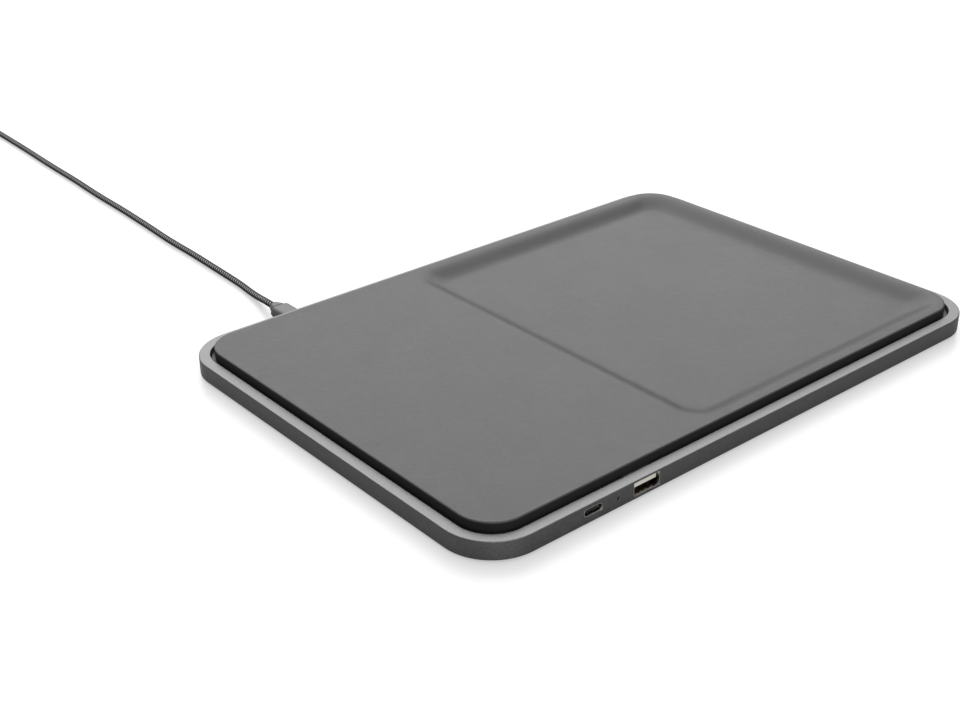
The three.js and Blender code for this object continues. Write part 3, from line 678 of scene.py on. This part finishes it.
def coil_route():
    """The wound spare length: one flat layer inwards, a step up, and one layer outwards."""
    points = []
    turns = TURNS_IN + TURNS_OUT
    inner = COIL_OUTER - COIL_PITCH * TURNS_IN
    for count in range(round(turns * POINTS_PER_TURN) + 1):
        turn = count / POINTS_PER_TURN
        past = turn - TURNS_IN
        radius = COIL_OUTER - COIL_PITCH * turn if past < 0 else inner + COIL_PITCH * past
        share = min(max(past / RISE_TURNS + 0.5, 0), 1)
        height = COIL_FLOOR + COIL_PITCH * share * share * (3 - 2 * share)
        angle = 2 * math.pi * turn
        x = COIL_CENTRE[0] + radius * math.cos(angle)
        y = COIL_CENTRE[1] + radius * math.sin(angle)
        points.append((x, y, height))
    return points


def smooth_path(points, step):
    """Points on a smooth curve through a route, a step apart."""
    knots = [Vector(point) * MM for point in points]
    ways = [
        (knots[min(place + 1, len(knots) - 1)] - knots[max(place - 1, 0)]).normalized()
        for place in range(len(knots))
    ]
    fine = [knots[0]]
    for place in range(len(knots) - 1):
        start, end = knots[place], knots[place + 1]
        reach = (end - start).length / 3
        lead_in, lead_out = start + ways[place] * reach, end - ways[place + 1] * reach
        fine += interpolate_bezier(start, lead_in, lead_out, end, 24)[1:]
    path = [fine[0]]
    left = step
    for start, end in zip(fine, fine[1:]):
        length = (end - start).length
        while length >= left and length > 0:
            start = start.lerp(end, left / length)
            path.append(start)
            length = (end - start).length
            left = step
        left -= length
    return path


CABLE_SIDES = 16
CABLE_STEP = BRAID_PITCH / 2


def make_cable():
    """The whole lead as one braided tube, with its length along u and its girth along v."""
    path = smooth_path(LEAD_ROUTE + coil_route() + TAIL_ROUTE, CABLE_STEP)
    bm = bmesh.new()
    bm.loops.layers.uv.new("girth")
    last = len(path) - 1
    bmesh.ops.create_grid(bm, x_segments=last, y_segments=CABLE_SIDES, size=0.5, calc_uvs=True)
    sides = []
    for place in range(last + 1):
        way = (path[min(place + 1, last)] - path[max(place - 1, 0)]).normalized()
        side = way.cross(Vector((0, 0, 1))).normalized()
        sides.append((side, side.cross(way)))
    for vert in bm.verts:
        place = round((vert.co.x + 0.5) * last)
        angle = 2 * math.pi * (vert.co.y + 0.5)
        side, up = sides[place]
        out = side * math.cos(angle) + up * math.sin(angle)
        vert.co = path[place] + out * (CABLE_DIAMETER / 2)
    bmesh.ops.remove_doubles(bm, verts=bm.verts, dist=1e-6)
    ends = [edge for edge in bm.edges if edge.is_boundary]
    bmesh.ops.holes_fill(bm, edges=ends)
    cable = new_piece("supply_cable", bm, "supply_lead", "cable_braid")
    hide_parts("cable_lead", "cable_coil", "cable_tail")
    return cable, path


# ---- The pad's visible pieces -----------------------------------------------------------------

def pad_section(inset, height):
    """The pad's outline set in by a distance, at a height."""
    corner = PAD_CORNER - inset * (PAD_CORNER - BAND_CORNER) / BAND_WIDTH
    return height, PAD_LENGTH - 2 * inset, PAD_WIDTH - 2 * inset, corner


def slot_cutter(place, width, height, corner, turn, chamfer=MOUTH_CHAMFER):
    """An opening through the frame's wall with a small chamfer at its mouth."""
    x, z = place
    bm = bmesh.new()
    flare = chamfer * 2
    start = -0.5 * MM
    sections = [
        (start, width + flare - 2 * start, height + flare - 2 * start, corner + chamfer - start),
        (chamfer, width, height, corner),
        (BAND_WIDTH + MM, width, height, corner),
    ]
    loft(bm, sections, 8, caps=(0, -1))
    stand(bm, turn, x, PAD_LOW.y if turn is TO_BACK else PAD_HIGH.y, z)
    return bm


def make_frame():
    """The metal frame: a rounded band with an inner ledge and openings for the sockets."""
    corners = [
        (0, PAD_LOW.z, 0.35 * MM),
        (0, PAD_HIGH.z, 0.42 * MM),
        (BAND_WIDTH, PAD_HIGH.z, 0.3 * MM),
        (BAND_WIDTH, LEDGE_TOP, 0.1 * MM),
        (LEDGE_REACH, LEDGE_TOP, 0.1 * MM),
        (LEDGE_REACH, LEDGE_UNDERSIDE, 0.1 * MM),
        (BAND_WIDTH, LEDGE_UNDERSIDE, 0.1 * MM),
        (BAND_WIDTH, PAD_LOW.z, 0.2 * MM),
    ]
    bm = bmesh.new()
    loft(bm, [pad_section(*point) for point in rounded_profile(corners, True)], closed=True)
    piece = new_piece("frame_band", bm, "pad", "anodised_frame")
    carve(piece, [
        slot_cutter(LARGE_OUTLET, *LARGE_MOUTH, TO_BACK),
        slot_cutter(SMALL_OUTLET, *SMALL_MOUTH, TO_BACK),
        slot_cutter(LIGHT_HOLE, *LIGHT_MOUTH, TO_BACK, LIGHT_CHAMFER),
        slot_cutter(SMALL_INLET, *SMALL_MOUTH, TO_FRONT),
    ])
    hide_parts("outer_frame")


def make_leather():
    """One skin of leather: over the deck's soft edge and down into the tray."""
    top = DECK_HIGH.z
    edge = DECK_ROUNDING + 0.3 * MM
    sections = []
    for shrink, height in rounded_profile(
        [(0, LEATHER_HEM, 0), (0, top, DECK_ROUNDING), (edge, top, 0)], False, 7
    )[:-1]:
        inset = 2 * (DECK_INSET + shrink)
        sections.append((height, PAD_LENGTH - inset, PAD_WIDTH - inset, DECK_CORNER - shrink))
    centre = ((TRAY_LEFT + TRAY_RIGHT) / 2, (TRAY_FRONT + TRAY_BACK) / 2)
    for step in range(TRAY_STEPS + 1):
        share = step / TRAY_STEPS
        fall = TRAY_DEPTH * share * share * (3 - 2 * share)
        inset = TRAY_WALL * share
        width = TRAY_RIGHT - TRAY_LEFT - 2 * inset
        depth = TRAY_BACK - TRAY_FRONT - 2 * inset
        sections.append((top - fall, width, depth, TRAY_CORNER - 0.4 * inset, centre))
    bm = bmesh.new()
    loft(bm, sections, caps=(-1,))
    piece = new_piece("leather_skin", bm, "pad", "pad_leather")
    thicken(piece, LEATHER_THICKNESS)
    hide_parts("leather_top")


# ---- Sockets ----------------------------------------------------------------------------------

def sleeve(bm, section, depth, floor, round_mouth):
    """A sheet-metal sleeve, open at its mouth and shut at its back. section gives the outline at a
    place and a shrink."""
    wall = SHELL_WALL
    loft(bm, [
        section(depth, 0),
        section(round_mouth, 0),
        section(round_mouth * 0.3, round_mouth * 0.3),
        section(0, round_mouth),
        section(0, wall - round_mouth),
        section(round_mouth * 0.3, wall - round_mouth * 0.3),
        section(round_mouth, wall),
        section(depth - floor, wall),
    ], 8, caps=(0, -1))


def large_sleeve_section(place, shrink):
    low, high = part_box("usb_a_shell")
    return place, high.x - low.x - 2 * shrink, high.z - low.z - 2 * shrink, 0.6 * MM - shrink


def small_sleeve_section(place, shrink):
    low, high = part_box("usb_c_out_shell")
    return stadium(place, high.x - low.x, high.z - low.z, shrink)


SPRING_WIDTH = 1.8 * MM
SPRING_SHEET = 0.2 * MM
SPRING_RISE = 0.85 * MM
SPRING_SINK = 0.12 * MM


def spring(bm, x, z, direction, turn):
    """A sheet spring pressed out of a sleeve's wall: a strip that climbs to a soft hump near the
    mouth and falls away to its root."""
    start, hump, root = 1.7 * MM, 3.6 * MM, 8.6 * MM
    made = bmesh.ops.create_grid(bm, x_segments=2, y_segments=16, size=0.5)["verts"]
    for vert in made:
        place = start + (vert.co.y + 0.5) * (root - start)
        climb = (place - start) / (hump - start)
        fall = (root - place) / (root - hump)
        share = min(climb, fall)
        share = share * share * (3 - 2 * share)
        vert.co = turn @ Vector((vert.co.x * SPRING_WIDTH, 0, 0))
        vert.co += Vector((x, PAD_LOW.y + place, z))
        vert.co += Vector(direction) * (share * SPRING_RISE - SPRING_SINK)
    faces = list({face for vert in made for face in vert.link_faces})
    bmesh.ops.solidify(bm, geom=faces, thickness=SPRING_SHEET)


def make_large_outlet():
    """The full-size outlet: sleeve, springs, pale tongue, and a black sheet over the sleeve where it
    crosses the gap between band and leather, as painted shade of that gap."""
    low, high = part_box("usb_a_shell")
    x, z = LARGE_OUTLET
    bm = bmesh.new()
    sleeve(bm, large_sleeve_section, high.y - low.y, 0.5 * MM, 0.1 * MM)
    stand(bm, TO_BACK, x, low.y, z)
    piece = new_piece("usb_a_sleeve", bm, "pad", "socket_steel")
    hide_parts("usb_a_shell")
    flat = Matrix.Identity(3)
    upright = Matrix.Rotation(math.radians(90), 3, "Y")
    bm = bmesh.new()
    for offset in (-3 * MM, 3 * MM):
        spring(bm, x + offset, low.z + SHELL_WALL, (0, 0, 1), flat)
        spring(bm, x + offset, high.z - SHELL_WALL, (0, 0, -0.5), flat)
    side_height = z - 0.9 * MM
    spring(bm, low.x + SHELL_WALL, side_height, (0.7, 0, 0), upright)
    spring(bm, high.x - SHELL_WALL, side_height, (-0.7, 0, 0), upright)
    new_piece("usb_a_springs", bm, "pad", "socket_steel", sharp=50)
    block_for("usb_a_tongue", "usb_a_tongue_block", 0.22 * MM)
    # A black sheet over the sleeve's top in the gap between band and leather: painted shade of the gap.
    bm = bmesh.new()
    lap = 0.09 * MM
    gap_shade_low = (low.x - lap, low.y + BAND_WIDTH + lap, high.z - 0.25 * MM)
    rounded_block(bm, gap_shade_low, (high.x + lap, high.y - lap, high.z + lap), 0.03 * MM, 1)
    new_piece("usb_a_gap_shade_sheet", bm, "pad", "black_plastic")


CONTACT_COUNT = 12
CONTACT_PITCH = 0.5 * MM
CONTACT_HALF = 0.14 * MM


def make_contacts(name, node, inward):
    """The rows of fine contacts on both faces of a small socket's tongue. inward is 1 where the
    socket opens to the front and -1 where it opens to the back."""
    low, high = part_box(node)
    middle = (low.x + high.x) / 2
    tip = low.y if inward > 0 else high.y
    near, far = sorted((tip + inward * 0.9 * MM, tip + inward * 3.6 * MM))
    bm = bmesh.new()
    for count in range(CONTACT_COUNT):
        x = middle + (count - (CONTACT_COUNT - 1) / 2) * CONTACT_PITCH
        for bottom in (low.z - 0.03 * MM, high.z - 0.07 * MM):
            corner = (x + CONTACT_HALF, far, bottom + 0.1 * MM)
            rounded_block(bm, (x - CONTACT_HALF, near, bottom), corner, 0.02 * MM, 1)
    new_piece(name, bm, "pad", "contact_gold")


def make_small_socket(kind, place, turn):
    """A small socket: sleeve, tongue and contacts."""
    low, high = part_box(f"usb_c_{kind}_shell")
    bm = bmesh.new()
    sleeve(bm, small_sleeve_section, high.y - low.y, 0.45 * MM, 0.09 * MM)
    stand(bm, turn, place[0], low.y if turn is TO_BACK else high.y, place[1])
    piece = new_piece(f"usb_c_{kind}_sleeve", bm, "pad", "socket_steel")
    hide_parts(f"usb_c_{kind}_shell")
    block_for(f"usb_c_{kind}_tongue", f"usb_c_{kind}_tongue_block", 0.15 * MM)
    make_contacts(f"usb_c_{kind}_contacts", f"usb_c_{kind}_tongue", 1 if turn is TO_BACK else -1)


# ---- Feet -------------------------------------------------------------------------------------

def make_feet():
    """Soft feet with a rounded edge and a shallow ring in the sole."""
    for corner in ("rear_left", "rear_right", "front_left", "front_right"):
        low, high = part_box(f"foot_{corner}")
        radius = (high.x - low.x) / 2
        profile = rounded_profile([
            (0, 0.12 * MM, 0),
            (radius * 0.5, 0.12 * MM, 0.1 * MM),
            (radius * 0.58, 0, 0.1 * MM),
            (radius, 0, 0.45 * MM),
            (radius, high.z, 0.05 * MM),
            (0, high.z, 0),
        ], False, 3, 0.02 * MM)
        bm = bmesh.new()
        turned(bm, profile, (low.x + high.x) / 2, (low.y + high.y) / 2)
        piece = new_piece(f"rubber_foot_{corner}", bm, "pad", "foot_rubber")
        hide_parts(f"foot_{corner}")


# ---- The lead's plugs and tie -----------------------------------------------------------------

def rounded_body(bm, length, width, height, corner, front, back):
    """A body along +Z with rounded edges at both ends. A corner of None gives full round sides."""
    profile = rounded_profile(
        [(height / 4, 0, 0), (0, 0, front), (0, length, back), (height / 4, length, 0)], False, 5
    )
    sections = []
    for shrink, place in profile:
        side = (height - 2 * shrink) * FULL_ROUND if corner is None else max(corner - shrink, 0.3 * MM)
        sections.append((place, width - 2 * shrink, height - 2 * shrink, side))
    loft(bm, sections, 10, caps=(0, -1))


def make_plug():
    """The plug at the pad: a metal tip, a grip and a short strain relief."""
    x, z = SMALL_INLET
    low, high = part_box("plug_tip")
    bm = bmesh.new()
    rim = 0.15 * MM
    bottom = 0.4 * MM
    sections = [
        (0, 0), (BLADE_LENGTH - rim, 0), (BLADE_LENGTH, rim),
        (BLADE_LENGTH, BLADE_WALL - 0.1 * MM), (BLADE_LENGTH - rim, BLADE_WALL), (bottom, BLADE_WALL),
    ]
    loft(
        bm, [stadium(place, BLADE_WIDTH, BLADE_HEIGHT, shrink) for place, shrink in sections],
        8, caps=(0, -1),
    )
    stand(bm, TO_FRONT, x, high.y, z)
    blade = new_piece("plug_blade", bm, "supply_lead", "socket_steel")
    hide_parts("plug_tip")

    low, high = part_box("plug_housing")
    bm = bmesh.new()
    rounded_body(bm, high.y - low.y, high.x - low.x, high.z - low.z, None, 0.5 * MM, 0.8 * MM)
    stand(bm, TO_BACK, x, low.y, z)
    grip = new_piece("plug_grip", bm, "supply_lead", "plug_grey")
    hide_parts("plug_housing")

    low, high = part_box("plug_relief")
    # A neck and a collar that tapers to the cable: place, width and height in millimetres
    sections = [
        (-0.4, 6.4, 4.0), (0.35, 6.4, 4.0), (0.5, 7.0, 4.5), (0.75, 7.3, 4.75),
        (1.5, 7.2, 4.75), (2.3, 6.4, 4.65), (3.2, 5.6, 4.5), (4.1, 5.0, 4.3),
        (4.6, 4.5, 4.0), (4.85, 4.0, 3.7), (4.9, 3.3, 3.2),
    ]
    bm = bmesh.new()
    scaled = [stadium(place * MM, width * MM, height * MM) for place, width, height in sections]
    loft(bm, scaled, 10, caps=(0, -1))
    stand(bm, TO_BACK, x, low.y, z)
    collar = new_piece("plug_collar", bm, "supply_lead", "plug_grey")
    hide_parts("plug_relief")
    return [blade, grip, collar]


def make_far_plug():
    """The charger-end plug: a ribbed strain relief, a rounded grip and a steel shell."""
    low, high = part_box("far_relief")
    x, z = (low.x + high.x) / 2, (low.z + high.z) / 2
    length = high.y - low.y
    sections = []
    rings = 8 * 4
    for place in range(rings + 1):
        share = place / rings
        dip = 0.32 if place % 4 == 2 and 0.05 < share < 0.95 else 0
        width = 3.9 + 1.9 * share - dip
        height = 3.9 + 1.5 * share - dip
        sections.append((share * length, width * MM, height * MM, height * MM * FULL_ROUND * 0.96))
    bm = bmesh.new()
    loft(bm, sections, 8, caps=(0, -1))
    stand(bm, TO_FRONT, x, high.y, z)
    relief = new_piece("far_strain_relief", bm, "supply_lead", "plug_grey")
    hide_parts("far_relief")

    low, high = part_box("far_housing")
    bm = bmesh.new()
    rounded_body(bm, high.y - low.y, high.x - low.x, high.z - low.z, 2.2 * MM, 1.0 * MM, 0.6 * MM)
    stand(bm, TO_FRONT, x, high.y, z)
    grip = new_piece("far_grip", bm, "supply_lead", "plug_grey")
    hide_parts("far_housing")

    low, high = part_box("far_shell")
    width, height, length = high.x - low.x, high.z - low.z, high.y - low.y
    bm = bmesh.new()
    loft(bm, [
        (0, width, height, 0.5 * MM),
        (length - 0.1 * MM, width, height, 0.5 * MM),
        (length, width - 0.16 * MM, height - 0.16 * MM, 0.45 * MM),
        (length, width - 0.5 * MM, height - 0.5 * MM, 0.25 * MM),
        (length - 0.1 * MM, width - 0.6 * MM, height - 0.6 * MM, 0.2 * MM),
        (0.5 * MM, width - 0.6 * MM, height - 0.6 * MM, 0.2 * MM),
    ], 4, caps=(0, -1))
    stand(bm, TO_FRONT, x, high.y, z)
    shell = new_piece("far_sleeve", bm, "supply_lead", "socket_steel")
    windows = []
    for side in (-1, 1):
        window = bmesh.new()
        middle = Vector((x + side * 2.85 * MM, high.y - 7.6 * MM, high.z))
        half = Vector((1.1, 1.1, 0.8)) * MM
        rounded_block(window, middle - half, middle + half, 0.15 * MM, 2)
        windows.append(window)
    carve(shell, windows)
    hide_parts("far_shell")
    return [relief, grip, shell]


def make_tie():
    """A hook-and-loop strap round the wound turns, with its end lapped over the top."""
    low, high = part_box("cable_tie")
    width, height = high.y - low.y, high.z - low.z
    thick = 0.5 * MM
    half = (high.x - low.x) / 2
    edge = 0.12 * MM
    sections = []
    for place, shrink in (
        (-half, edge), (-half + edge, 0), (half - edge, 0), (half, edge),
        (half, thick - edge), (half - edge, thick), (edge - half, thick), (-half, thick - edge),
    ):
        sections.append((place, width - 2 * shrink, height - 2 * shrink, 1.9 * MM - shrink))
    bm = bmesh.new()
    loft(bm, sections, 8, closed=True)
    stand(bm, TO_RIGHT, (low.x + high.x) / 2, (low.y + high.y) / 2, (low.z + high.z) / 2)
    lap_low = (low.x, low.y + 2.4 * MM, high.z - 0.05 * MM)
    rounded_block(bm, lap_low, (high.x, high.y - 3.2 * MM, high.z + 0.55 * MM), 0.22 * MM)
    tie = new_piece("strap_tie", bm, "supply_lead", "tie_strap")
    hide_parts("cable_tie")
    return tie


# ---- Floor ------------------------------------------------------------------------------------

def make_floor():
    """A pale floor. To the camera alone it glows a little, and more towards its far edges. To the
    object it is darker and doesn't glow."""
    bm = bmesh.new()
    bmesh.ops.create_grid(bm, x_segments=1, y_segments=1, size=20)
    mesh = bpy.data.meshes.new("floor")
    bm.to_mesh(mesh)
    bm.free()
    paint = Finish("floor")
    seen = paint.node("ShaderNodeLightPath", {}, {}, "Is Camera Ray")
    x, y, _ = paint.axes(paint.place())
    far = ((x * x + y * y) ** 0.5).step(0.7, 2.2)
    shade = paint.noise(0.4, 1) * 0.02
    colour = paint.blend(seen, grey(0.3), grey(0.36))
    glow = paint.blend(seen, grey(0), paint.blend(far, grey(1), grey(1.8)))
    mesh.materials.append(paint.finish(
        Base_Color=colour, Roughness=0.35 + shade, Emission_Color=glow, Emission_Strength=FLOOR_GLOW
    ))
    link(bpy.data.objects.new("floor", mesh))


# ---- Making it all ----------------------------------------------------------------------------

finishes = make_finishes()
make_camera()
make_light()
make_floor()
cable, cable_path = make_cable()
make_frame()
make_leather()
make_large_outlet()
make_small_socket("out", SMALL_OUTLET, TO_BACK)
make_small_socket("in", SMALL_INLET, TO_FRONT)
make_feet()
lead_pieces = [*make_plug(), *make_far_plug(), make_tie(), nodes["far_insulator"]]

for name, node in nodes.items():
    node.data.materials[0] = finishes[slot_of[name]]
